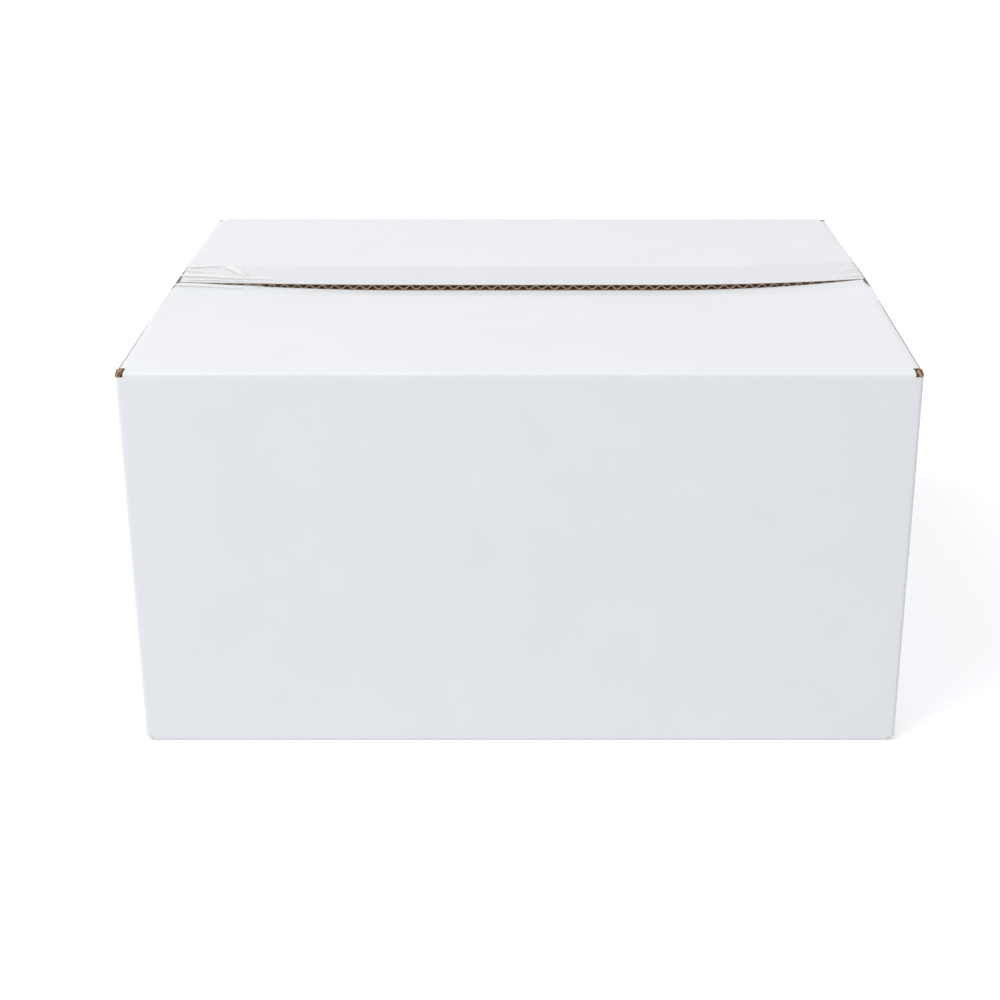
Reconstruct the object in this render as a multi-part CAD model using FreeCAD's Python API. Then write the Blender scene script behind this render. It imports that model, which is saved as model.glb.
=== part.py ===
import FreeCAD, Part
import os

# A white corrugated shipping carton, closed flat and taped along its top and bottom seams.
# Millimetres. X runs to the right along the length, Y to the back, Z up, and the origin is
# under the middle of the base.

# Outside of the closed carton
length = 350.0
width = 290.0
height = 180.5            # from the bottom flaps' outer face to the top flaps' at their creases

# The board: two flat liners with a fluted medium between them
board = 3.0
liner = 0.35
medium = 0.4
flute_pitch = 6.36
flute_phase = 1.2         # one crest of the wave lies this far right of the carton's middle
crest_outside = 1.46      # the medium's crest is glued to a liner over this width
crest_inside = 0.9        # and is this wide on its hollow side
mouth_depth = 5.0         # the flute ends on the upright corners are open this deep

# Folds
fold_radius = 1.8         # outside of the upright folds and of the inner flaps' folds
crease_radius = 1.2       # outside of the outer flaps' folds
crease_band = 12.0        # the board is crushed this far in from an outer flap's fold
crush_margin = 2.0        # and its flutes open up this far beyond
top_crease_drop = 0.3     # the top outer flaps slope down this much over that band

# Flaps: the outer ones are hinged on the long walls, the inner ones on the short walls
outer_side_inset = 0.4    # outer flaps' side edges, in from the short walls' outside
relief_wide = 3.7         # a notch at each end of an outer flap's fold is this wide
relief_long = 6.6         # and reaches this far in from the long walls' outside
inner_side_inset = 7.0    # inner flaps' side edges, in from the long walls' outside
slot_relief = 0.6         # the slots are cut this much past an inner flap's side and fold
slot_depth = 2.1          # the slots end on the upright corners this far inside the carton's ends
flap_clearance = 0.3      # between the outer and the inner flaps at their folds
seam_gap = 0.6            # between the free edges of the outer flaps

# How the top outer flaps' free edges lie, against the plane through their creases
level_span = 65.0         # they run level this far each way from the middle
front_sag = 3.2
back_sag = 0.4
left_rise = 1.0           # and curl up to these heights at the carton's ends
right_rise = 2.8
left_curl = 1.5           # the power that the rise follows: higher is later and steeper
right_curl = 2.2
inner_extra_sag = 1.5     # the top inner flaps hang this much lower than the front flap

# The glued joint at the rear right corner
tab_width = 35.0

# Clear film tape
film = 0.1
adhesive = 0.05           # between the film and a flat wall
film_lift = 0.15          # between the film and the curled flaps
tape_width = 48.0
tape_front = 12.0         # the top tape reaches this far in front of the seam
tape_landing = 6.0        # and touches down on the lower front flap this far in front of it
tape_tail = 60.0          # both tapes run this far along the short walls
tape_lap = 0.1            # the top tape's bend stands this far inside the short walls' outside
tape_bend = 0.5           # outside radius of the bottom tape's bends

# How many points shape the curled edges
film_stations = 24
rail_stations = 15

V = FreeCAD.Vector
half_length = length / 2
half_width = width / 2
half_height = height / 2
base_lift = film + adhesive + half_height
outer_half_span = half_length - outer_side_inset
inner_half_span = half_width - inner_side_inset
free_edge = seam_gap / 2
flap_reach = half_width - free_edge
crease_line = half_width - crease_band
hollow_height = board - 2 * liner - medium
hollow_wide = flute_pitch - crest_outside
inner_hang = front_sag + inner_extra_sag


def spread(first, last, count):
    return [first + (last - first) * i / (count - 1) for i in range(count)]


def curled(x, sag):
    """How far a top outer flap's free edge lies above the plane through its crease."""
    past = max(0.0, abs(x) - level_span) / (outer_half_span - level_span)
    rise, curl = (left_rise, left_curl) if x < 0 else (right_rise, right_curl)
    return (rise + sag) * past ** curl - sag


def front_edge(x):
    return curled(x, front_sag)


def back_edge(x):
    return curled(x, back_sag)


def flat_edge(x):
    return 0.0


def flap_height(edge, x, y):
    """Height of an outer flap's face, ruled from its straight crease line to its free edge."""
    share = (crease_line - abs(y)) / (crease_line - free_edge)
    return half_height + edge(x) * share


def outline(start, *steps):
    """A closed wire whose last step comes back to its start; a step is (end,) for a straight
    run, or (through, end) for an arc."""
    edges = []
    here = start
    for step in steps:
        if len(step) == 2:
            edges.append(Part.Arc(here, step[0], step[1]).toShape())
        else:
            edges.append(Part.LineSegment(here, step[0]).toShape())
        here = step[-1]
    return Part.Wire(edges)


def bulge(centre, towards, radius):
    """The middle of a quarter arc round a centre, bulging towards a corner."""
    return centre + V(*towards).normalize() * radius


def mirrored(shape, normal):
    return shape.mirror(V(0, 0, 0), V(*normal))


def wall_section():
    """The four walls seen from above, with the glued tab inside the rear right corner."""
    r = fold_radius
    x, y = half_length, half_width
    seat = y - board
    outside = outline(
        V(r - x, -y, 0),
        (V(x - r, -y, 0),),
        (bulge(V(x - r, r - y, 0), (1, -1, 0), r), V(x, r - y, 0)),
        (V(x, seat - r, 0),),
        (bulge(V(x - r, seat - r, 0), (1, 1, 0), r), V(x - r, seat, 0)),
        (V(x - r, y, 0),),
        (V(r - x, y, 0),),
        (bulge(V(r - x, y - r, 0), (-1, 1, 0), r), V(-x, y - r, 0)),
        (V(-x, r - y, 0),),
        (bulge(V(r - x, r - y, 0), (-1, -1, 0), r), V(r - x, -y, 0)),
    )
    inside = outline(
        V(board - x, board - y, 0),
        (V(x - board, board - y, 0),),
        (V(x - board, seat - board, 0),),
        (V(x - tab_width, seat - board, 0),),
        (V(x - tab_width, seat, 0),),
        (V(board - x, seat, 0),),
        (V(board - x, board - y, 0),),
    )
    return Part.Face(outside).cut(Part.Face(inside)).Faces[0]


def walls_between(low, high):
    return wall_section().extrude(V(0, 0, high - low)).translated(V(0, 0, low))


def rounded_section(inset):
    """The carton's plain outline seen from above, drawn in by an inset, as a face."""
    r = max(fold_radius - inset, liner)
    x, y = half_length - inset, half_width - inset
    return Part.Face(outline(
        V(r - x, -y, 0),
        (V(x - r, -y, 0),),
        (bulge(V(x - r, r - y, 0), (1, -1, 0), r), V(x, r - y, 0)),
        (V(x, y - r, 0),),
        (bulge(V(x - r, y - r, 0), (1, 1, 0), r), V(x - r, y, 0)),
        (V(r - x, y, 0),),
        (bulge(V(r - x, y - r, 0), (-1, 1, 0), r), V(-x, y - r, 0)),
        (V(-x, r - y, 0),),
        (bulge(V(r - x, r - y, 0), (-1, -1, 0), r), V(r - x, -y, 0)),
    ))


def corner_mouths(corner_top):
    """The open flute ends where the slots end on the three folded corners."""
    half_hollow = hollow_height / 2
    rings = []
    for start in (liner, liner + half_hollow + medium):
        band = rounded_section(start).cut(rounded_section(start + half_hollow))
        rings.append(band.extrude(V(0, 0, -mouth_depth)).translated(V(0, 0, corner_top)))
    reach_x = relief_wide
    reach_y = inner_side_inset - slot_relief
    mouths = []
    for x, y in ((-half_length, -half_width), (half_length - reach_x, -half_width),
                 (-half_length, half_width - reach_y)):
        corner = Part.makeBox(reach_x, reach_y, mouth_depth, V(x, y, corner_top - mouth_depth))
        mouths += [ring.common(corner) for ring in rings]
    return mouths


def slotted_corners(low, high):
    """The upright corners past the walls' common height, with their flute ends open."""
    corners = walls_between(low, high)
    window = 2 * (inner_half_span + slot_relief)
    for x in (-half_length, half_length - board):
        corners = corners.cut(Part.makeBox(board, window, high - low, V(x, -window / 2, low)))
    return corners.cut(corner_mouths(high))


def folded_panel(low, crease, reach, reach_height, radius, half_span):
    """A wall from height low, its fold, and the flap up to reach; its outside is at y = 0."""
    profile = outline(
        V(0, 0, low),
        (V(0, 0, crease - radius),),
        (bulge(V(0, radius, crease - radius), (0, -1, 1), radius), V(0, radius, crease)),
        (V(0, reach, reach_height),),
        (V(0, reach, reach_height - board),),
        (V(0, board, crease - board),),
        (V(0, board, low),),
        (V(0, 0, low),),
    )
    return Part.Face(profile).extrude(V(2 * half_span, 0, 0)).translated(V(-half_span, 0, 0))


def relief(side, low):
    """What the notch at one end of an outer flap's fold takes away."""
    inner_x = half_length - relief_wide
    start = inner_x if side > 0 else -half_length
    return Part.makeBox(relief_wide, relief_long, height, V(start, 0, low))


def rail(edge, y):
    """The line that an outer flap's upper face follows at depth y, from side to side."""
    curve = Part.BSplineCurve()
    stations = spread(-outer_half_span, outer_half_span, rail_stations)
    curve.interpolate([V(x, y, flap_height(edge, x, y)) for x in stations])
    return curve.toShape()


def hollow_places():
    """Where the flutes' hollows lie along a free edge, each with its corners as (across, depth)."""
    wide = hollow_wide / 2
    narrow = crest_inside / 2
    over_trough = ((-wide, liner), (wide, liner), (narrow, liner + hollow_height), (-narrow, liner + hollow_height))
    under_crest = [(across, board - depth) for across, depth in over_trough]
    count = int(length / flute_pitch)
    limit = outer_half_span - wide - liner
    places = []
    for n in range(-count, count + 1):
        crest = flute_phase + n * flute_pitch
        places += [(crest, under_crest), (crest + flute_pitch / 2, over_trough)]
    return [(middle, corners) for middle, corners in places if abs(middle) < limit]


def outer_flap(edge):
    """The front outer flap beyond its crushed band, closed face by face round its open flutes."""
    down = V(0, 0, -board)
    free = rail(edge, -free_edge)
    crease = rail(flat_edge, -crease_line)
    low_free = free.translated(down)
    low_crease = crease.translated(down)
    faces = [
        Part.makeRuledSurface(crease, free),
        Part.makeRuledSurface(low_crease, low_free),
        Part.makeRuledSurface(crease, low_crease),
    ]
    rim = [free, low_free]
    for end in (0, -1):
        a = crease.Vertexes[end].Point
        b = free.Vertexes[end].Point
        faces.append(Part.Face(Part.makePolygon([a, b, b + down, a + down, a])))
        rim.append(Part.LineSegment(b, b + down).toShape())
    mouths = []
    for middle, corners in hollow_places():
        rings = []
        for y in (crush_margin - crease_line, -free_edge):
            points = [V(middle + dx, y, flap_height(edge, middle + dx, y) - depth) for dx, depth in corners]
            rings.append(Part.makePolygon(points + [points[0]]))
        faces += Part.makeLoft(rings, False, True).Faces
        faces.append(Part.Face(rings[0]))
        mouths.append(rings[1])
    free_end = Part.Wire(Part.sortEdges(rim)[0])
    faces.append(Part.makeFace([free_end] + mouths, "Part::FaceMakerBullseye"))
    shell = Part.Shell(faces)
    shell.sewShape()
    return Part.Solid(shell)


def closure(front, back, crease_drop, hang):
    """One end of the carton, drawn as its top: corners, folds and flaps, and where they start."""
    crease = half_height - crease_drop
    inner_top = crease - board - flap_clearance
    wall_top = inner_top - fold_radius - slot_relief
    corner_top = half_height - slot_depth

    outer = folded_panel(corner_top, crease, crease_band, half_height, crease_radius, outer_half_span)
    outer = outer.cut([relief(1, wall_top), relief(-1, wall_top)])
    front_fold = outer.translated(V(0, -half_width, 0))
    inner = folded_panel(wall_top, inner_top, flap_reach, inner_top - hang, fold_radius, inner_half_span)
    left_flap = inner.rotated(V(0, 0, 0), V(0, 0, 1), -90).translated(V(-half_length, 0, 0))
    pieces = [
        slotted_corners(wall_top, corner_top),
        front_fold,
        mirrored(front_fold, (0, 1, 0)),
        left_flap,
        mirrored(left_flap, (1, 0, 0)),
        outer_flap(front),
        mirrored(outer_flap(back), (0, 1, 0)),
    ]
    return pieces, wall_top


def carton():
    """The folded and glued blank: one piece of board."""
    upper, upper_wall = closure(front_edge, back_edge, top_crease_drop, inner_hang)
    lower, lower_wall = closure(flat_edge, flat_edge, 0.0, 0.0)
    lower = [mirrored(piece, (0, 0, 1)) for piece in lower]
    walls = walls_between(-lower_wall, upper_wall)
    blank = walls.multiFuse(upper + lower).removeSplitter()
    return blank.translated(V(0, 0, base_lift))


def film_section(points, normal):
    """A cut across the film: its underside's points, and the same points one thickness away."""
    over = [point + normal * film for point in reversed(points)]
    return Part.makePolygon(points + over + [points[0]])


def top_tape_end(side, lines):
    """The film past a flap's end: its bend over the side, and its tail down the short wall."""
    end = side * outer_half_span
    wall = side * (half_length + adhesive)
    bend = side * (half_length - tape_lap)
    fold_start = half_height - top_crease_drop - board - fold_radius
    over_bend = [V(bend, y, flap_height(edge, end, y) + film_lift) for y, edge in lines]
    on_wall = [V(wall, y, fold_start) for y, edge in lines]
    tail_end = [V(wall, y, half_height - tape_tail) for y, edge in lines]
    outward = V(side, 0, 0)
    slanted = V(side, 0, 1).normalize()
    return [film_section(over_bend, slanted), film_section(on_wall, outward), film_section(tail_end, outward)]


def top_tape():
    """The tape over the top seam; it steps down from the back flap onto the lower front flap."""
    lines = (
        (tape_width - tape_front, back_edge),
        (free_edge, back_edge),
        (-tape_landing, front_edge),
        (-tape_front, front_edge),
    )
    run = []
    for x in spread(-outer_half_span, outer_half_span, film_stations):
        points = [V(x, y, flap_height(edge, x, y) + film_lift) for y, edge in lines]
        run.append(film_section(points, V(0, 0, 1)))
    sections = list(reversed(top_tape_end(-1, lines))) + run + top_tape_end(1, lines)
    return Part.makeLoft(sections, True, True).translated(V(0, 0, base_lift))


def cradle(inset):
    """The bottom tape's outside seen from the front, drawn in by an inset and closed across."""
    r = tape_bend - inset
    x = half_length + adhesive + film - inset
    return Part.Face(outline(
        V(-x, 0, tape_tail),
        (V(-x, 0, tape_bend),),
        (bulge(V(r - x, 0, tape_bend), (-1, 0, -1), r), V(r - x, 0, inset)),
        (V(x - r, 0, inset),),
        (bulge(V(x - r, 0, tape_bend), (1, 0, -1), r), V(x, 0, tape_bend)),
        (V(x, 0, tape_tail),),
        (V(-x, 0, tape_tail),),
    ))


def bottom_tape():
    """The tape under the bottom seam, bent up on the short walls; it lies on the ground."""
    section = cradle(0).cut(cradle(film)).Faces[0]
    return section.extrude(V(0, tape_width, 0)).translated(V(0, -tape_width / 2, 0))


os.makedirs("parts", exist_ok=True)
for name, make in (("carton", carton), ("top_tape", top_tape), ("bottom_tape", bottom_tape)):
    shape = make()
    print(name, len(shape.Solids), "solid, valid", shape.isValid(), "volume", round(shape.Volume), shape.BoundBox)
    shape.exportStep("parts/" + name + ".step")
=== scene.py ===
import math

import bmesh
import bpy
import numpy as np
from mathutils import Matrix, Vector


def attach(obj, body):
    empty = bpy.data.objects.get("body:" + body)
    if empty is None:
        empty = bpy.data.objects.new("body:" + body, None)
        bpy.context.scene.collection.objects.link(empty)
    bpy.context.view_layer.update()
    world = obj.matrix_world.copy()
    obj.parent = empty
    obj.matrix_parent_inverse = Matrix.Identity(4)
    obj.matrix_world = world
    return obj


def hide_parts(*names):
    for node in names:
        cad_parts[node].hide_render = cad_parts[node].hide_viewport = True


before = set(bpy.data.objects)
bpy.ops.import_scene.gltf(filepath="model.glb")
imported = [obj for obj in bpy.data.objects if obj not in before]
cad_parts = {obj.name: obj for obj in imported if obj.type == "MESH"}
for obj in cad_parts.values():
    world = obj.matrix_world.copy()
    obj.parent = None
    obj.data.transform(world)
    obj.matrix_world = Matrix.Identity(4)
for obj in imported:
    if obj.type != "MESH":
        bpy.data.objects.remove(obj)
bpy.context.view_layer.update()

# The blank: one sheet of single-wall corrugated board, slotted and creased, glued at the rear
# right corner and folded shut. Its outside is white-top linerboard, a bleached ply on kraft, so
# the faces are a cool white and every cut edge is brown. Sizes here are in millimetres.
millimetre = 0.001
half_length = 175.0
half_width = 145.0
half_height = 90.25
middle = 90.4                  # height of the carton's middle above the ground
board = 3.0
liner = 0.35
glue_line = 0.05
tab_width = 35.0
fold_radius = 1.8              # outside of the upright folds and of the inner flaps' folds
crease_radius = 1.2            # outside of the outer flaps' folds
crease_band = 12.0             # the board is crushed this far in from an outer flap's fold
top_drop = 0.3                 # the top flaps slope down this much over that band
flap_clearance = 0.3           # between the outer and the inner flaps at their folds
slot_relief = 0.6              # the slots are cut this much past an inner flap's side and fold
slot_depth = 2.1               # and end this far inside the carton's top and bottom
post_short = 0.2               # a torn post by a top slot ends this far below the top
post_turn = (0.9, 1.6)         # it starts to rise this far in from the long wall, over this much
outer_end = 174.6              # the outer flaps' side edges
relief_end = 171.3             # and where the notches at the ends of their folds stop
relief_long = 6.6              # the notches reach this far in from the long walls
crush_reach = 3.0              # a crease presses the board about this far to each side
corner_press = 0.35            # how hard an upright fold presses it, where a crease is 1
# Where the knife crushed the top flaps' side edges, in strips drawn dark as painted shade of the
# gap past them: distances in from the wall, and widths
crushed_edges_painted_dark = {
    ("front", -1): ((0, 55, 80, 128, 134, 140, 145), (0.8, 0.7, 0.02, 0.02, 0.8, 1.6, 2.0)),
    ("front", 1): ((0, 92, 112, 128, 133, 138, 145), (0.6, 0.6, 0.02, 0.02, 0.8, 1.9, 2.1)),
    ("back", -1): ((0, 105, 110, 125, 138, 145), (0.02, 0.02, 0.4, 1.1, 1.8, 2.1)),
    ("back", 1): ((0, 100, 112, 135, 145), (0.02, 0.02, 0.45, 0.8, 0.9)),
}
crushed_slope = 0.7            # a crushed strip's outer edge is lower by this share of its width
crushed_drop = 0.5             # and by no more than this
inner_end = 138.0              # the inner flaps' side edges
free_edge = 0.3                # half the gap at the seam
inner_hang = 4.7               # the top inner flaps' free edges hang this low
level_span = 65.0              # the top flaps' free edges run level this far from the middle
front_sag = 3.2
back_sag = 0.4
left_rise = 1.0                # and curl up to these heights at the carton's ends
right_rise = 2.8
left_curl = 1.5                # the power that the rise follows
right_curl = 2.2
flute_pitch = 6.36
flute_phase = 1.2              # one crest lies this far right of the middle on the back panel


def curled(x, sag):
    """How far a top outer flap's free edge lies above the plane through its crease."""
    past = np.maximum(0.0, np.abs(x) - level_span) / (outer_end - level_span)
    rise = np.where(x < 0, left_rise, right_rise)
    power = np.where(x < 0, left_curl, right_curl)
    return (rise + sag) * past ** power - sag


def front_edge(x):
    return curled(x, front_sag)


def back_edge(x):
    return curled(x, back_sag)


def flat_edge(x):
    return np.zeros_like(x)


def places(marks, step):
    """Places along a run: every mark, and even steps between them."""
    run = [marks[0]]
    for start, stop in zip(marks, marks[1:]):
        count = max(1, math.ceil(abs(stop - start) / step))
        run += [start + (stop - start) * i / count for i in range(1, count + 1)]
    return np.array(run)


def path_round_the_walls(step, turns):
    """The sheet's outside seen from above, from its glued tab to its last edge: points, outward
    normals, distance along the sheet, and the span of places that each part takes."""
    x, y, r = half_length, half_width, fold_radius
    seat = y - board - glue_line
    slot_end = inner_end + slot_relief
    parts = [
        ("tab", "line", (0, 1), places([x - tab_width, x - r], step), seat),
        ("rear right", "arc", (x - r, seat - r), 90, None),
        ("right back", "line", (1, 0), places([seat - r, slot_end], step), x),
        ("right slot back", "line", (1, 0), places([slot_end, inner_end], step), x),
        ("right", "line", (1, 0), places([inner_end, -inner_end], step), x),
        ("right slot front", "line", (1, 0), places([-inner_end, -slot_end], step), x),
        ("right front", "line", (1, 0), places([-slot_end, r - y], step), x),
        ("front right", "arc", (x - r, r - y), 0, None),
        ("front side right", "line", (0, -1), places([x - r, relief_end], step), -y),
        ("front", "line", (0, -1), places([relief_end, -relief_end], step), -y),
        ("front side left", "line", (0, -1), places([-relief_end, r - x], step), -y),
        ("front left", "arc", (r - x, r - y), -90, None),
        ("left front", "line", (-1, 0), places([r - y, -slot_end], step), -x),
        ("left slot front", "line", (-1, 0), places([-slot_end, -inner_end], step), -x),
        ("left", "line", (-1, 0), places([-inner_end, inner_end], step), -x),
        ("left slot back", "line", (-1, 0), places([inner_end, slot_end], step), -x),
        ("left back", "line", (-1, 0), places([slot_end, y - r], step), -x),
        ("rear left", "arc", (r - x, y - r), 180, None),
        ("back side left", "line", (0, 1), places([r - x, -relief_end], step), y),
        ("back", "line", (0, 1), places([-relief_end, relief_end], step), y),
        ("back side right", "line", (0, 1), places([relief_end, x - r], step), y),
    ]
    points, normals, spans = [], [], {}
    for name, kind, a, b, c in parts:
        if kind == "arc":
            angles = np.radians(b - np.linspace(0, 90, turns + 1))
            out = np.stack([np.cos(angles), np.sin(angles)], 1)
            run = np.array(a) + r * out
        else:
            out = np.tile(np.array(a, float), (len(b), 1))
            run = np.full((len(b), 2), float(c))
            run[:, 0 if a[0] == 0 else 1] = b
        first = len(points) - 1 if points else 0
        skip = 1 if points else 0
        points += list(run[skip:])
        normals += list(out[skip:])
        spans[name] = (first, len(points))
    points = np.array(points)
    along = np.concatenate([[0], np.cumsum(np.linalg.norm(np.diff(points, axis=0), axis=1))])
    start = spans["back"][0]
    along += points[start, 0] - flute_phase - along[start]
    return points, np.array(normals), along, spans


def outer_flap_rows(crease, wall_top, turns, step):
    """An outer flap's outside, from the wall up and over its fold: how far in from the wall and
    how high each row lies, and its share of the free edge's lift."""
    wall_step, crease_step, free_strip = 2.5, 1.6, 6
    r = crease_radius
    rows = [(0.0, h, 0.0) for h in places([wall_top, crease - r], wall_step)]
    for i in range(1, turns + 1):
        a = math.radians(90 * i / turns)
        rows.append((r * (1 - math.cos(a)), crease - r + r * math.sin(a), 0.0))
    for out in places([r, relief_long, crease_band], crease_step)[1:]:
        slope = math.sin(math.pi / 2 * (out - r) / (crease_band - r))
        rows.append((out, crease + (half_height - crease) * slope, 0.0))
    reach = half_width - free_edge
    for out in places([crease_band, reach - free_strip, reach], step)[1:]:
        rows.append((out, half_height, (out - crease_band) / (reach - crease_band)))
    return rows


def inner_flap_rows(crease, wall_top, hang, turns, step):
    """The same for an inner flap, which hangs by that much at its free edge."""
    r = fold_radius
    rows = [(0.0, h, 0.0) for h in (wall_top, crease - r)]
    for i in range(1, turns + 1):
        a = math.radians(90 * i / turns)
        rows.append((r * (1 - math.cos(a)), crease - r + r * math.sin(a), 0.0))
    reach = half_width - free_edge
    for out in places([r, reach], step)[1:]:
        rows.append((out, crease - hang * (out - r) / (reach - r), 0.0))
    return rows


def folded_sheet(across_step, along_step, turns, inner_reach=None, shade_crushed_edges=False):
    """The blank's outside as one open mesh, folded shut. The attribute across is the distance
    along the sheet over the flutes, and crushed is how much a crease has pressed it."""
    press_fade = 3.0               # an upright fold's press fades over this much of a wall's top
    wing_step = 1.7
    one_span = 10.0                # a step longer than any part of a crushed edge
    post_step = 1.2
    band = 6                       # a row lies this far from each end of the walls
    weld = 0.02
    plan, outward, along, spans = path_round_the_walls(across_step, turns)
    patches, patches_with_painted_shade = [], []

    def span(*names):
        first = spans[names[0]][0]
        return slice(first, spans[names[-1]][1])

    def corner_crush(p):
        """How hard the upright fold has pressed the sheet there."""
        away = np.hypot(half_length - np.abs(p[:, 0]), half_width - np.abs(p[:, 1]))
        return corner_press * np.exp(-(away / crush_reach) ** 2)

    def upright(where, heights, lift=0.0):
        """A patch of wall. A post by a slot stands higher on the short wall's side, by the lift."""
        p = plan[where]
        grid = np.zeros((len(heights), len(p), 3))
        grid[:, :, :2] = p[None]
        grid[:, :, 2] = middle + np.array(heights)[:, None]
        turn_start, turn_long = post_turn
        on_short_wall = np.clip((half_width - np.abs(p[:, 1]) - turn_start) / turn_long, 0, 1)
        on_short_wall[np.abs(p[:, 0]) < half_length - fold_radius] = 0.0
        rising = np.linspace(0, 1, len(heights))[:, None] ** 2
        grid[:, :, 2] += lift * on_short_wall[None] * rising
        repeat = (len(heights), 1)
        patches.append((grid, np.tile(along[where], repeat), np.tile(corner_crush(p), repeat)))

    def bent(p, out_dir, over_flutes, rows, crease, end, edge):
        """A patch that goes over a fold, by its rows."""
        grid = np.zeros((len(rows), len(p), 3))
        crushed = np.zeros((len(rows), len(p)))
        for i, (out, height, share) in enumerate(rows):
            grid[i, :, :2] = p - out_dir * out
            grid[i, :, 2] = middle + end * (height + edge(p[:, 0]) * share)
            from_crease = math.hypot(out, min(0.0, height - crease))
            crushed[i] = math.exp(-(from_crease / crush_reach) ** 2)
            if out == 0:
                by_corner = corner_crush(p) * max(0.0, 1 - (height - rows[0][1]) / press_fade)
                crushed[i] = np.maximum(crushed[i], by_corner)
        patches.append((grid, np.tile(over_flutes, (len(rows), 1)), crushed))

    def over(name, rows, crease, end, edge):
        where = span(name)
        bent(plan[where], outward[where], along[where], rows, crease, end, edge)

    def wings(name, rows, crease, end, edge):
        """An outer flap's strips past the notches at the ends of its fold."""
        past_notch = [row for row in rows if row[0] >= relief_long - 1e-6]
        first, last = spans[name][0], spans[name][1] - 1
        way = math.copysign(1, plan[last, 0] - plan[first, 0])
        for place in (first, last):
            side = math.copysign(1, plan[place, 0])
            # A crushed edge is lowered, and its outermost strip is drawn in the dark painted-shade
            # material
            cut = shade_crushed_edges and end > 0
            # The middle mark of a crushed edge is moved to its strip's width below
            marks = [relief_end, outer_end - 0.4, outer_end] if cut else [relief_end, outer_end]
            xs = side * places(marks, one_span if cut else min(across_step, wing_step))
            p = np.stack([xs, np.full_like(xs, plan[place, 1])], 1)
            over_flutes = along[place] + way * (xs - plan[place, 0])
            out_dir = np.tile(outward[place], (len(xs), 1))
            bent(p, out_dir, over_flutes, past_notch, crease, end, edge)
            if cut:
                stations, widths = crushed_edges_painted_dark[name, side]
                for i, row in enumerate(past_notch):
                    wide = float(np.interp(row[0], stations, widths))
                    patches[-1][0][i, -1, 2] -= min(crushed_drop, crushed_slope * wide)
                    patches[-1][0][i, -2, 0] = side * (outer_end - wide)
                patches_with_painted_shade.append(len(patches) - 1)

    levels = {}
    for end, drop, hang in ((1, top_drop, inner_hang), (-1, 0.0, 0.0)):
        crease = half_height - drop
        inner_crease = crease - board - flap_clearance
        wall_top = inner_crease - fold_radius - slot_relief
        levels[end] = wall_top
        corner_top = half_height - slot_depth
        outer_rows = outer_flap_rows(crease, wall_top, turns, along_step)
        inner_rows = inner_flap_rows(inner_crease, wall_top, hang, turns, along_step)
        if inner_reach is not None:
            inner_rows = [row for row in inner_rows if row[0] <= inner_reach]
        edges = (front_edge, back_edge) if end > 0 else (flat_edge, flat_edge)
        for name, edge in zip(("front", "back"), edges):
            over(name, outer_rows, crease, end, edge)
            wings(name, outer_rows, crease, end, edge)
        over("left", inner_rows, inner_crease, end, flat_edge)
        over("right", inner_rows, inner_crease, end, flat_edge)
        corner_levels = [end * h for h in places([wall_top, corner_top], post_step)]
        lift = end * (half_height - post_short - corner_top) if end > 0 else 0.0
        tab_levels = places([wall_top, crease - board - flap_clearance], post_step)
        upright(span("tab"), [end * h for h in tab_levels])
        for names in (
            ("rear right", "right back"), ("right front", "front side right"),
            ("front side left", "left front"), ("left back", "back side left"),
            ("back side right", "back side right"),
        ):
            upright(span(*names), corner_levels, lift)
    wall_marks = [-levels[-1], -levels[-1] + band, levels[1] - band, levels[1]]
    upright(slice(0, len(plan)), places(wall_marks, along_step))

    tool = bmesh.new()
    across = tool.verts.layers.float.new("across")
    crushed = tool.verts.layers.float.new("crushed")
    for number, (grid, over_flutes, pressed) in enumerate(patches):
        rows, columns = grid.shape[:2]
        made = []
        values = zip(grid.reshape(-1, 3), over_flutes.reshape(-1), pressed.reshape(-1))
        for point, value, press in values:
            vertex = tool.verts.new(point * millimetre)
            vertex[across] = value * millimetre
            vertex[crushed] = press
            made.append(vertex)
        for i in range(rows - 1):
            for j in range(columns - 1):
                a = i * columns + j
                b = a + columns
                face = tool.faces.new((made[a], made[a + 1], made[b + 1], made[b]))
                # The crushed strips at the top flaps' side edges take material 2, a painted shade
                face.material_index = 2 if number in patches_with_painted_shade and j == columns - 2 else 0
    bmesh.ops.remove_doubles(tool, verts=tool.verts, dist=weld * millimetre)
    bmesh.ops.recalc_face_normals(tool, faces=tool.faces)
    tool.faces.ensure_lookup_table()
    front = min(tool.faces, key=lambda f: f.calc_center_median().y)
    if front.normal.y > 0:
        bmesh.ops.reverse_faces(tool, faces=tool.faces)
    sheet = bpy.data.meshes.new("folded_sheet")
    tool.to_mesh(sheet)
    tool.free()
    return sheet


def below(sheet, depth, kept_at_crease):
    """The same sheet, moved in by a depth, and by less of it where a crease has crushed it."""
    moved = sheet.copy()
    count = len(moved.vertices)
    co = np.zeros(count * 3)
    moved.vertices.foreach_get("co", co)
    normals = np.zeros(count * 3)
    moved.vertex_normals.foreach_get("vector", normals)
    crushed = np.zeros(count)
    moved.attributes["crushed"].data.foreach_get("value", crushed)
    inwards = depth * (1 - (1 - kept_at_crease) * crushed) * millimetre
    co = co.reshape(-1, 3) - normals.reshape(-1, 3) * inwards[:, None]
    moved.vertices.foreach_set("co", co.ravel())
    moved.update()
    return moved


def show(mesh, name):
    made = bpy.data.objects.new(name, mesh)
    bpy.context.scene.collection.objects.link(made)
    return made


def settle(made):
    """Turns what an object's modifiers make into its plain mesh, and takes them off."""
    sharp_from = math.radians(38)
    bpy.context.view_layer.update()
    graph = bpy.context.evaluated_depsgraph_get()
    mesh = bpy.data.meshes.new_from_object(
        made.evaluated_get(graph), preserve_all_data_layers=True, depsgraph=graph)
    made.modifiers.clear()
    made.data = mesh
    mesh.set_sharp_from_angle(angle=sharp_from)
    return made


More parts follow.
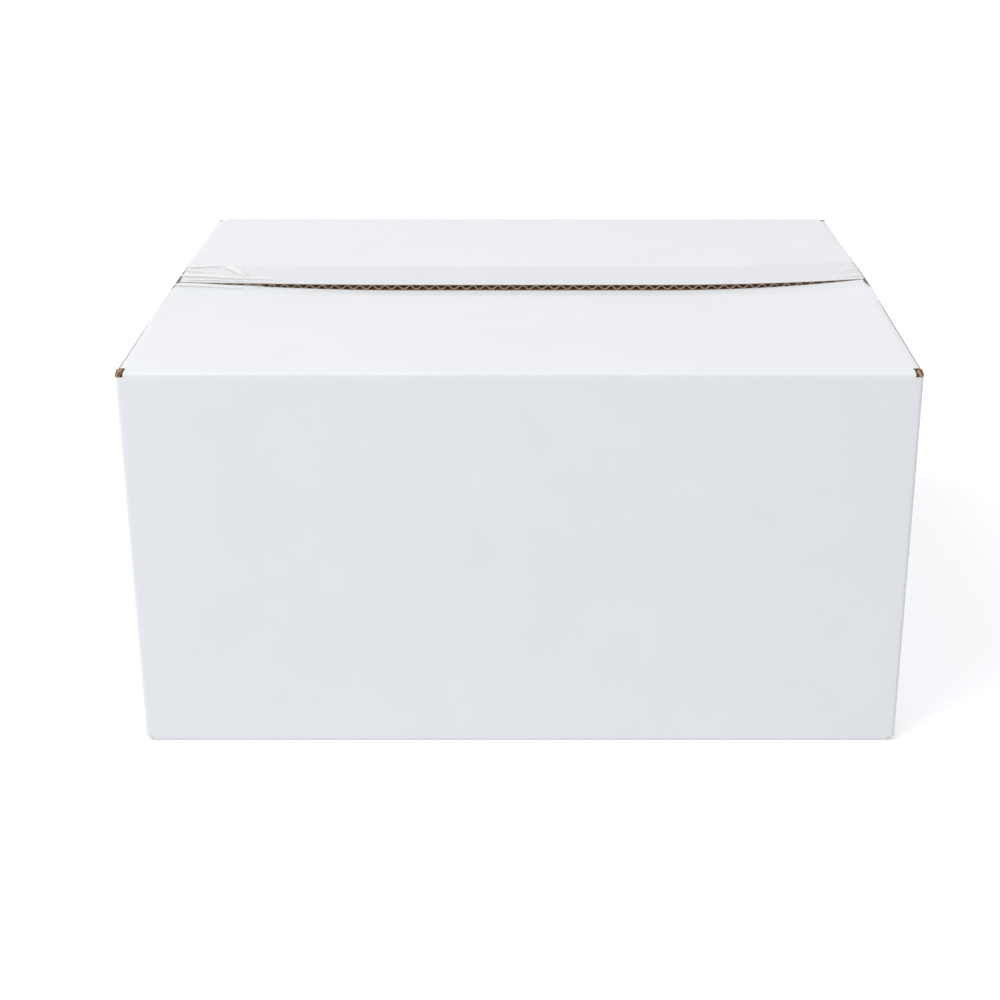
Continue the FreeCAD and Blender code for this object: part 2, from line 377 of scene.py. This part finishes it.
def paper(mesh, name, thickness, materials):
    """A liner: the sheet, given its paper's thickness inwards, with brown under it and on its
    cut edges where it has a second material."""
    made = show(mesh, name)
    for material in materials:
        mesh.materials.append(material)
    mesh.polygons.foreach_set("use_smooth", [True] * len(mesh.polygons))
    solid = made.modifiers.new("thickness", "SOLIDIFY")
    solid.thickness = thickness * millimetre
    solid.offset = -1
    solid.use_even_offset = True
    solid.use_quality_normals = True
    if len(materials) > 1:
        solid.material_offset = 1
        solid.material_offset_rim = 1
    return settle(made)


def linear(code):
    """An sRGB hex colour as the linear colour that a shader takes."""
    channels = [int(code[i:i + 2], 16) / 255 for i in (1, 3, 5)]
    return [c / 12.92 if c <= 0.04045 else ((c + 0.055) / 1.055) ** 2.4 for c in channels] + [1.0]


def add(tree, kind, inputs=None, **settings):
    """Adds a node. An input that is given a socket is linked to it, and any other is set."""
    new = tree.nodes.new(kind)
    for name, value in settings.items():
        setattr(new, name, value)
    for key, value in (inputs or {}).items():
        if isinstance(value, bpy.types.NodeSocket):
            tree.links.new(value, new.inputs[key])
        else:
            new.inputs[key].default_value = value
    return new


def new_material(name):
    material = bpy.data.materials.new(name)
    material.use_nodes = True
    material.node_tree.nodes.clear()
    return material, material.node_tree


# White-top linerboard: bleached pulp with a light clay coating, calendered. It looks a cool
# matt white with a very faint cloudiness from the pulp and fine grain, and the flutes under it
# hardly print through.
first_colour, second_colour, mixed_colour = 6, 7, 2    # a colour Mix node's sockets
white_top_liner, tree = new_material("white_top_liner")
where = add(tree, "ShaderNodeTexCoord").outputs["Object"]
cloud = add(tree, "ShaderNodeTexNoise", {"Vector": where, "Scale": 1 / 0.035, "Detail": 2.0})
grain = add(tree, "ShaderNodeTexNoise", {"Vector": where, "Scale": 1 / 0.0011, "Detail": 3.0})
pulp = add(tree, "ShaderNodeMix", {
    "Factor": cloud.outputs["Fac"],
    first_colour: linear("#EDEFF3"), second_colour: linear("#F2F4F7"),
}, data_type="RGBA")
across = add(tree, "ShaderNodeAttribute", attribute_name="across")
turn = add(tree, "ShaderNodeMath", {
    0: across.outputs["Fac"], 1: 2 * math.pi / (flute_pitch * millimetre),
}, operation="MULTIPLY")
wave = add(tree, "ShaderNodeMath", {0: turn.outputs[0]}, operation="COSINE")
washboard = add(tree, "ShaderNodeBump", {
    "Height": wave.outputs[0], "Strength": 0.5, "Distance": 0.00002,
})
texture = add(tree, "ShaderNodeBump", {
    "Height": grain.outputs["Fac"], "Strength": 0.35, "Distance": 0.00004,
    "Normal": washboard.outputs["Normal"],
})
matt = add(tree, "ShaderNodeMapRange", {
    "Value": grain.outputs["Fac"], "To Min": 0.52, "To Max": 0.66,
})
surface = add(tree, "ShaderNodeBsdfPrincipled", {
    "Base Color": pulp.outputs[mixed_colour], "Roughness": matt.outputs[0],
    "Normal": texture.outputs["Normal"], "IOR": 1.5, "Specular IOR Level": 0.35,
})
add(tree, "ShaderNodeOutputMaterial", {"Surface": surface.outputs[0]})

# Kraft linerboard: unbleached long softwood fibres, machine glazed. It is a mid brown with
# darker and lighter fibres, drawn here a little coarser than the real ones.
kraft_liner, tree = new_material("kraft_liner")
where = add(tree, "ShaderNodeTexCoord").outputs["Object"]
spread_out = add(tree, "ShaderNodeMapping", {"Vector": where, "Scale": (1.0, 1.0, 0.25)})
fibres = add(tree, "ShaderNodeTexNoise", {
    "Vector": spread_out.outputs[0], "Scale": 1 / 0.0009, "Detail": 3.0,
})
brown = add(tree, "ShaderNodeMix", {
    "Factor": fibres.outputs["Fac"],
    first_colour: linear("#7F5C40"), second_colour: linear("#B08B66"),
}, data_type="RGBA")
rough = add(tree, "ShaderNodeMapRange", {
    "Value": fibres.outputs["Fac"], "To Min": 0.7, "To Max": 0.9,
})
bumps = add(tree, "ShaderNodeBump", {
    "Height": fibres.outputs["Fac"], "Strength": 0.5, "Distance": 0.00006,
})
surface = add(tree, "ShaderNodeBsdfPrincipled", {
    "Base Color": brown.outputs[mixed_colour], "Roughness": rough.outputs[0],
    "Normal": bumps.outputs["Normal"], "Specular IOR Level": 0.25,
})
add(tree, "ShaderNodeOutputMaterial", {"Surface": surface.outputs[0]})

# Crushed kraft and painted shade: the knife-crushed edge strips, drawn dark to paint the shade of
# the gap past them.
crushed_kraft_and_painted_shade, tree = new_material("crushed_kraft_and_painted_shade")
where = add(tree, "ShaderNodeTexCoord").outputs["Object"]
fibres = add(tree, "ShaderNodeTexNoise", {"Vector": where, "Scale": 1 / 0.0012, "Detail": 3.0})
brown = add(tree, "ShaderNodeMix", {
    "Factor": fibres.outputs["Fac"],
    first_colour: linear("#4A3D33"), second_colour: linear("#85776A"),
}, data_type="RGBA")
bumps = add(tree, "ShaderNodeBump", {
    "Height": fibres.outputs["Fac"], "Strength": 0.6, "Distance": 0.00008,
})
surface = add(tree, "ShaderNodeBsdfPrincipled", {
    "Base Color": brown.outputs[mixed_colour], "Roughness": 0.85,
    "Normal": bumps.outputs["Normal"], "Specular IOR Level": 0.2,
})
add(tree, "ShaderNodeOutputMaterial", {"Surface": surface.outputs[0]})

outside = folded_sheet(across_step=6.0, along_step=3.0, turns=6, shade_crushed_edges=True)
# The third material paints shade on the crushed strips at the top flaps' side edges
faces_and_edges = [white_top_liner, kraft_liner, crushed_kraft_and_painted_shade]
outer_liner = paper(outside, "outer_liner", liner, faces_and_edges)
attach(outer_liner, "root")
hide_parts("carton")

# The inner liner: plain kraft, the inside face of the same board. The creases crush the board
# to about half its thickness, so it comes nearer to the outside along every fold.
kept_at_crease = 0.5
inside = folded_sheet(across_step=5.0, along_step=6.0, turns=7)
inside = below(inside, board - liner, kept_at_crease)
inner_liner = paper(inside, "inner_liner", liner, [kraft_liner])
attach(inner_liner, "root")

# The fluted medium: recycled paper corrugated between hot rollers and starched to both liners.
# Its wave runs from panel to panel and shows at the seam, in the slots and on the raw edge at
# the rear right corner. It is paler where the light catches its cut edge.
medium = 0.3
flute_parts = 8                # straight parts to one wave
seen_of_inner = 12.0           # the inner flaps' flutes are drawn this far in from their folds
fluting_medium, tree = new_material("fluting_medium")
where = add(tree, "ShaderNodeTexCoord").outputs["Object"]
specks = add(tree, "ShaderNodeTexNoise", {"Vector": where, "Scale": 1 / 0.0008, "Detail": 4.0})
tan = add(tree, "ShaderNodeMix", {
    "Factor": specks.outputs["Fac"],
    first_colour: linear("#B3967A"), second_colour: linear("#DEC6AA"),
}, data_type="RGBA")
rough = add(tree, "ShaderNodeMapRange", {
    "Value": specks.outputs["Fac"], "To Min": 0.75, "To Max": 0.92,
})
bumps = add(tree, "ShaderNodeBump", {
    "Height": specks.outputs["Fac"], "Strength": 0.5, "Distance": 0.00005,
})
surface = add(tree, "ShaderNodeBsdfPrincipled", {
    "Base Color": tan.outputs[mixed_colour], "Roughness": rough.outputs[0],
    "Normal": bumps.outputs["Normal"], "Specular IOR Level": 0.2,
})
add(tree, "ShaderNodeOutputMaterial", {"Surface": surface.outputs[0]})

corrugator = bpy.data.node_groups.new("corrugate_the_medium", "GeometryNodeTree")
for label, kind, way in (
    ("Geometry", "NodeSocketGeometry", "INPUT"),
    ("Flute pitch", "NodeSocketFloat", "INPUT"),
    ("Room between liners", "NodeSocketFloat", "INPUT"),
    ("Kept at a crease", "NodeSocketFloat", "INPUT"),
    ("Paper", "NodeSocketFloat", "INPUT"),
    ("Material", "NodeSocketMaterial", "INPUT"),
    ("Geometry", "NodeSocketGeometry", "OUTPUT"),
):
    corrugator.interface.new_socket(label, in_out=way, socket_type=kind)
given = add(corrugator, "NodeGroupInput").outputs
over_flutes = add(corrugator, "GeometryNodeInputNamedAttribute", {
    "Name": "across",
}, data_type="FLOAT")
pressed = add(corrugator, "GeometryNodeInputNamedAttribute", {
    "Name": "crushed",
}, data_type="FLOAT")
flutes = add(corrugator, "ShaderNodeMath", {
    0: over_flutes.outputs[0], 1: given["Flute pitch"],
}, operation="DIVIDE")
angle = add(corrugator, "ShaderNodeMath", {
    0: flutes.outputs[0], 1: 2 * math.pi,
}, operation="MULTIPLY")
crest = add(corrugator, "ShaderNodeMath", {0: angle.outputs[0]}, operation="COSINE")
lost = add(corrugator, "ShaderNodeMath", {
    0: 1.0, 1: given["Kept at a crease"],
}, operation="SUBTRACT")
lost_here = add(corrugator, "ShaderNodeMath", {
    0: lost.outputs[0], 1: pressed.outputs[0],
}, operation="MULTIPLY")
kept_here = add(corrugator, "ShaderNodeMath", {
    0: 1.0, 1: lost_here.outputs[0],
}, operation="SUBTRACT")
travel = add(corrugator, "ShaderNodeMath", {
    0: given["Room between liners"], 1: kept_here.outputs[0],
}, operation="MULTIPLY")
swing = add(corrugator, "ShaderNodeMath", {0: travel.outputs[0], 1: 0.5}, operation="MULTIPLY")
lift = add(corrugator, "ShaderNodeMath", {
    0: swing.outputs[0], 1: crest.outputs[0],
}, operation="MULTIPLY")
facing = add(corrugator, "GeometryNodeInputNormal")
offset = add(corrugator, "ShaderNodeVectorMath", {
    0: facing.outputs[0], "Scale": lift.outputs[0],
}, operation="SCALE")
wavy = add(corrugator, "GeometryNodeSetPosition", {
    "Geometry": given["Geometry"], "Offset": offset.outputs[0],
})
inwards = add(corrugator, "ShaderNodeMath", {0: given["Paper"], 1: -1.0}, operation="MULTIPLY")
thick = add(corrugator, "GeometryNodeExtrudeMesh", {
    "Mesh": wavy.outputs[0], "Offset Scale": inwards.outputs[0], "Individual": False,
}, mode="FACES")
underside = add(corrugator, "GeometryNodeFlipFaces", {"Mesh": thick.outputs["Mesh"]})
both = add(corrugator, "GeometryNodeJoinGeometry")
corrugator.links.new(wavy.outputs[0], both.inputs[0])
corrugator.links.new(underside.outputs[0], both.inputs[0])
welded = add(corrugator, "GeometryNodeMergeByDistance", {
    "Geometry": both.outputs[0], "Distance": 0.000002,
})
single = add(corrugator, "GeometryNodeRealizeInstances", {"Geometry": welded.outputs[0]})
finished = add(corrugator, "GeometryNodeSetMaterial", {
    "Geometry": single.outputs[0], "Material": given["Material"],
})
add(corrugator, "NodeGroupOutput", {"Geometry": finished.outputs[0]})

halfway = folded_sheet(
    across_step=flute_pitch / flute_parts, along_step=45.0, turns=3, inner_reach=seen_of_inner)
halfway = below(halfway, board / 2 - medium / 2, kept_at_crease)
room = board - 2 * liner - medium
fluted_medium = show(halfway, "fluted_medium")
corrugated = fluted_medium.modifiers.new("flutes", "NODES")
corrugated.node_group = corrugator
values = {
    "Flute pitch": flute_pitch * millimetre, "Room between liners": room * millimetre,
    "Kept at a crease": kept_at_crease, "Paper": medium * millimetre,
    "Material": fluting_medium,
}
for item in corrugator.interface.items_tree:
    if item.name in values:
        corrugated[item.identifier] = values[item.name]
settle(fluted_medium)
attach(fluted_medium, "root")

# The top tape: clear film with an acrylic adhesive, run over the seam and down both ends by
# hand. It is stuck down clear on the back flap, bridges the step to the lower front flap, and
# is rucked and milky at the ends, where air got under it.
film = 0.1
film_lift = 0.15               # between the film and the curled flaps
tape_front = -12.0             # the tape's edges, from the seam
tape_back = 36.0
landing = -6.0                 # where it touches down on the front flap
bend_out = 175.0               # how far out it stands where it bends down
wall_out = 175.05              # and where it lies on a short wall
tail_start = 175.55            # heights above the ground of its tails' tops and torn ends
tail_end = 120.65
tooth_deep = 0.9               # the cutter's teeth on a torn end
tooth_pitch = 2.4

# Rucks at the ends: where each starts and ends (x, y), its half-width and its height
rucks = (
    (-175, 31.0, -151, 33.0, 2.2, 0.50), (-151, 29.0, -138, 9.0, 2.6, 0.60),
    (-175, 22.5, -157, 20.0, 1.9, 0.40), (-175, 13.5, -116, 6.0, 2.3, 0.60),
    (-166, 4.5, -112, 2.5, 1.0, 0.35), (-175, -5.0, -128, -4.5, 2.2, 0.50),
    (175, 7.0, 156, 4.5, 1.8, 0.30), (175, 20.0, 164, 19.0, 2.0, 0.30),
)
wander = 0.5                   # a ruck's ridge strays this far to each side
wander_long = 5.0              # by a sine that turns one radian over this much of its length
ruck_start = 6.0               # a ruck swells over this much before its start
ruck_end_fade = 5.0            # and all rucks fade over this much at the flaps' ends


def rucked(x, y):
    """How far the film stands off what it lies on, by its rucks, in millimetres."""
    total = np.zeros(np.broadcast(x, y).shape)
    for x0, y0, x1, y1, wide, high in rucks:
        run = np.array([x1 - x0, y1 - y0], float)
        length = np.hypot(*run)
        run /= length
        forward = (x - x0) * run[0] + (y - y0) * run[1]
        aside = -(x - x0) * run[1] + (y - y0) * run[0]
        aside = aside + wander * np.sin(forward / wander_long + x0 + y0)
        fade = np.clip(1 - forward / length, 0, 1) ** 0.7 * np.clip(1 + forward / ruck_start, 0, 1)
        total = np.maximum(total, high * fade * np.exp(-(aside / wide) ** 2))
    return total * np.clip((outer_end - np.abs(x)) / ruck_end_fade, 0, 1) ** 0.5


def film_height(x, y):
    """Height of the film's underside above the ground, over the top of the carton."""
    reach = half_width - free_edge - crease_band
    back = back_edge(x) * (half_width - crease_band - y) / reach
    front = front_edge(x) * (half_width - crease_band + y) / reach
    at_back = back_edge(x) * (half_width - crease_band - free_edge) / reach
    at_front = front_edge(x) * (half_width - crease_band + landing) / reach
    share = np.clip((y - landing) / (free_edge - landing), 0, 1)
    bridge = at_front + (at_back - at_front) * share
    level = np.where(y >= free_edge, back, np.where(y <= landing, front, bridge))
    return middle + half_height + film_lift + level


def tape_end(side):
    """The film past the flaps' ends, as (x, share of the way to the tail, drop) rows: it stands
    out past the slot, bends over, and comes down to the short wall."""
    bend = [(174.72, 0.0), (174.85, -0.07), (174.93, -0.22), (174.98, -0.6), (bend_out, -1.4)]
    rows = []
    for x, down in bend:
        rows.append((side * x, 1.0, down))
    for t in np.linspace(0.25, 1, 4):
        rows.append((side * (bend_out + (wall_out - bend_out) * t), 1.0 - t, None))
    return rows


def teeth(across):
    """How far a torn end is cut back, at places across the tape."""
    return tooth_deep * (2 * np.abs((across / tooth_pitch) % 1 - 0.5))


# The film's grid is finest just behind the seam and at its left end, where it rucks most
across_tape = np.concatenate([
    np.linspace(tape_front, landing, 9), np.linspace(landing, free_edge, 11)[1:],
    np.linspace(free_edge, 12, 21)[1:], np.linspace(12, tape_back, 33)[1:],
])
along_top = np.concatenate([
    np.linspace(-outer_end, -120, 80), np.linspace(-120, 150, 60)[1:],
    np.linspace(150, outer_end, 28)[1:],
])
ends = []
for side in (-1, 1):
    at_end = np.full_like(across_tape, side * outer_end)
    edge_height = film_height(at_end, across_tape)
    edge_height = edge_height + rucked(at_end, across_tape)
    rows = []
    last = None
    for x, share, down in tape_end(side):
        if down is not None:
            height = edge_height + down
            last = height
        else:
            height = tail_start + (last - tail_start) * share
        rows.append(np.stack([np.full_like(across_tape, x), across_tape, height], 1))
    for level in np.linspace(tail_start, tail_end, 24)[1:]:
        height = np.full_like(across_tape, level)
        if level == tail_end:
            height = height + teeth(across_tape)
        on_wall = np.full_like(across_tape, side * wall_out)
        rows.append(np.stack([on_wall, across_tape, height], 1))
    ends.append(rows)
top_rows = []
for x in along_top:
    xs = np.full_like(across_tape, x)
    height = film_height(xs, across_tape) + rucked(xs, across_tape)
    top_rows.append(np.stack([xs, across_tape, height], 1))
left_rows, right_rows = ends
film_grid = np.array(list(reversed(left_rows)) + top_rows + right_rows)

lifted = rucked(film_grid[:, :, 0], film_grid[:, :, 1])
lifted = np.where(film_grid[:, :, 2] < tail_start, 0.0, lifted)
bonded = np.clip((film_grid[:, :, 1] - landing) / 5.0, 0.35, 1.0)

# Clear polypropylene film: it reflects as plastic does, lets nearly all the light through, and
# greys the paper a little where its adhesive has wetted it. Lifted film looks milky.
film_index = 1.45
clear_film, tree = new_material("clear_polypropylene_film")
stands_off = add(tree, "ShaderNodeAttribute", attribute_name="lifted")
wetted = add(tree, "ShaderNodeAttribute", attribute_name="bonded")
where = add(tree, "ShaderNodeTexCoord").outputs["Object"]
drawn = add(tree, "ShaderNodeMapping", {"Vector": where, "Scale": (0.12, 1.0, 1.0)})
streaks = add(tree, "ShaderNodeTexNoise", {
    "Vector": drawn.outputs[0], "Scale": 1 / 0.0015, "Detail": 2.0,
})
ripple = add(tree, "ShaderNodeBump", {
    "Height": streaks.outputs["Fac"], "Strength": 0.4, "Distance": 0.00004,
})
tint = add(tree, "ShaderNodeMix", {
    "Factor": wetted.outputs["Fac"],
    first_colour: linear("#FEFEFE"), second_colour: linear("#FDFDFD"),
}, data_type="RGBA")
through = add(tree, "ShaderNodeBsdfTransparent", {"Color": tint.outputs[mixed_colour]})
side_seen = add(tree, "ShaderNodeNewGeometry")
index = add(tree, "ShaderNodeMapRange", {
    "Value": side_seen.outputs["Backfacing"], "To Min": film_index, "To Max": 1 / film_index,
})
mirror = add(tree, "ShaderNodeFresnel", {
    "IOR": index.outputs[0], "Normal": ripple.outputs["Normal"],
})
gloss = add(tree, "ShaderNodeMath", {0: mirror.outputs[0], 1: 0.16}, operation="MULTIPLY")
shine = add(tree, "ShaderNodeBsdfGlossy", {
    "Color": (1, 1, 1, 1), "Roughness": 0.1, "Normal": ripple.outputs["Normal"],
})
clear = add(tree, "ShaderNodeMixShader", {
    0: gloss.outputs[0], 1: through.outputs[0], 2: shine.outputs[0],
})
haze = add(tree, "ShaderNodeMapRange", {
    "Value": stands_off.outputs["Fac"], "From Min": 0.02, "From Max": 0.35,
    "To Min": 0.0, "To Max": 0.85,
})
milky = add(tree, "ShaderNodeBsdfPrincipled", {
    "Base Color": (1, 1, 1, 1), "Roughness": 0.25, "IOR": 1.5,
    "Normal": ripple.outputs["Normal"],
})
mixed = add(tree, "ShaderNodeMixShader", {
    0: haze.outputs[0], 1: clear.outputs[0], 2: milky.outputs[0],
})
add(tree, "ShaderNodeOutputMaterial", {"Surface": mixed.outputs[0]})


def strip_of_film(grid, name, attributes):
    """A film: the face that sticks as a grid of points, thickened away from the carton."""
    rows, columns = grid.shape[:2]
    faces = []
    for i in range(rows - 1):
        for j in range(columns - 1):
            a = i * columns + j
            faces.append((a, a + columns, a + columns + 1, a + 1))
    mesh = bpy.data.meshes.new(name)
    mesh.from_pydata([tuple(p) for p in grid.reshape(-1, 3) * millimetre], [], faces)
    mesh.polygons.foreach_set("use_smooth", [True] * len(mesh.polygons))
    for label, data in attributes.items():
        stored = mesh.attributes.new(label, "FLOAT", "POINT")
        stored.data.foreach_set("value", data.reshape(-1).astype(np.float32))
    mesh.materials.append(clear_film)
    made = show(mesh, name)
    solid = made.modifiers.new("thickness", "SOLIDIFY")
    solid.thickness = film * millimetre
    solid.offset = 1
    solid.use_even_offset = True
    return settle(made)


top_film = strip_of_film(film_grid, "top_tape_film", {"lifted": lifted, "bonded": bonded})
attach(top_film, "root")
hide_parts("top_tape")

# The bottom tape: the same film under the bottom seam, turned up on the short walls. It carries
# the carton's weight, so it lies flat.
bottom_half = 24.0             # half its width
bottom_tail = 60
bend = 0.5                     # outside radius where it turns up
radius = bend - film
across_bottom = np.linspace(-bottom_half, bottom_half, 41)
turned_up = [(-wall_out, z) for z in np.linspace(bottom_tail, bend, 20)]
for a in np.radians(np.linspace(15, 90, 6)):
    turned_up.append((-wall_out + radius - radius * math.cos(a), bend - radius * math.sin(a)))
flat_run = np.linspace(-wall_out + radius, wall_out - radius, 40)[1:-1]
profile = turned_up + [(x, film) for x in flat_run] + [(-x, z) for x, z in reversed(turned_up)]
bottom_grid = np.array([[(x, y, z) for y in across_bottom] for x, z in profile])
bottom_grid[0, :, 2] -= teeth(across_bottom)
bottom_grid[-1, :, 2] -= teeth(across_bottom)
bottom_film = strip_of_film(bottom_grid, "bottom_tape_film", {
    "lifted": np.zeros(bottom_grid.shape[:2]), "bonded": np.ones(bottom_grid.shape[:2]),
})
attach(bottom_film, "root")
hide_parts("bottom_tape")


# The studio: a plain white sweep, soft daylight all round and one large soft lamp at the upper
# left front, so that the top is the brightest face and the right side the darkest.
def looked_at(tree):
    """1 for a ray that looks, straight or by gloss or through film, and 0 for one that lights."""
    rays = add(tree, "ShaderNodeLightPath").outputs
    seen_ray = add(tree, "ShaderNodeMath", {
        0: rays["Is Camera Ray"], 1: rays["Is Glossy Ray"],
    }, operation="MAXIMUM")
    seen_ray = add(tree, "ShaderNodeMath", {
        0: seen_ray.outputs[0], 1: rays["Is Transmission Ray"],
    }, operation="MAXIMUM")
    return seen_ray.outputs[0]


matt_white, tree = new_material("painted_white_floor")
seen = looked_at(tree)
paint = add(tree, "ShaderNodeBsdfDiffuse", {"Color": linear("#E6E7EA")})
boost = add(tree, "ShaderNodeMath", {0: seen, 1: 0.47}, operation="MULTIPLY")
white_out = add(tree, "ShaderNodeEmission", {
    "Color": (1, 1, 1, 1), "Strength": boost.outputs[0],
})
total = add(tree, "ShaderNodeAddShader", {0: paint.outputs[0], 1: white_out.outputs[0]})
add(tree, "ShaderNodeOutputMaterial", {"Surface": total.outputs[0]})
reach = 9.0
corners = [(-reach, -reach, 0), (reach, -reach, 0), (reach, reach, 0), (-reach, reach, 0)]
floor_mesh = bpy.data.meshes.new("floor")
floor_mesh.from_pydata(corners, [], [(0, 1, 2, 3)])
floor_mesh.materials.append(matt_white)
floor = show(floor_mesh, "floor")

world = bpy.data.worlds.new("studio")
bpy.context.scene.world = world
world.use_nodes = True
tree = world.node_tree
tree.nodes.clear()
seen = looked_at(tree)
strength = add(tree, "ShaderNodeMapRange", {"Value": seen, "To Min": 0.605, "To Max": 1.0})
sky = add(tree, "ShaderNodeBackground", {
    "Color": (1, 1, 1, 1), "Strength": strength.outputs[0],
})
add(tree, "ShaderNodeOutputWorld", {"Surface": sky.outputs[0]})

softbox = bpy.data.lights.new("softbox", "AREA")
softbox.shape = "RECTANGLE"
softbox.size = 2.1
softbox.size_y = 1.5
softbox.energy = 60.0
softbox.color = (1.0, 1.0, 1.0)
lamp = bpy.data.objects.new("softbox", softbox)
lamp.location = (-1.9, -1.25, 2.65)
aim = Vector((0, 0, 0.1)) - lamp.location
lamp.rotation_euler = aim.to_track_quat("-Z", "Y").to_euler()
bpy.context.scene.collection.objects.link(lamp)

camera = bpy.data.cameras.new("camera")
camera.lens = 65.144
camera.sensor_width = 36.0
camera.shift_x = -0.0289
camera.shift_y = -0.02
photographer = bpy.data.objects.new("camera", camera)
photographer.location = (0.004119, -0.88861, 0.42233)
photographer.rotation_euler = (math.radians(68.607), 0, 0)
bpy.context.scene.collection.objects.link(photographer)
bpy.context.scene.camera = photographer
bpy.context.scene.view_settings.view_transform = "Standard"
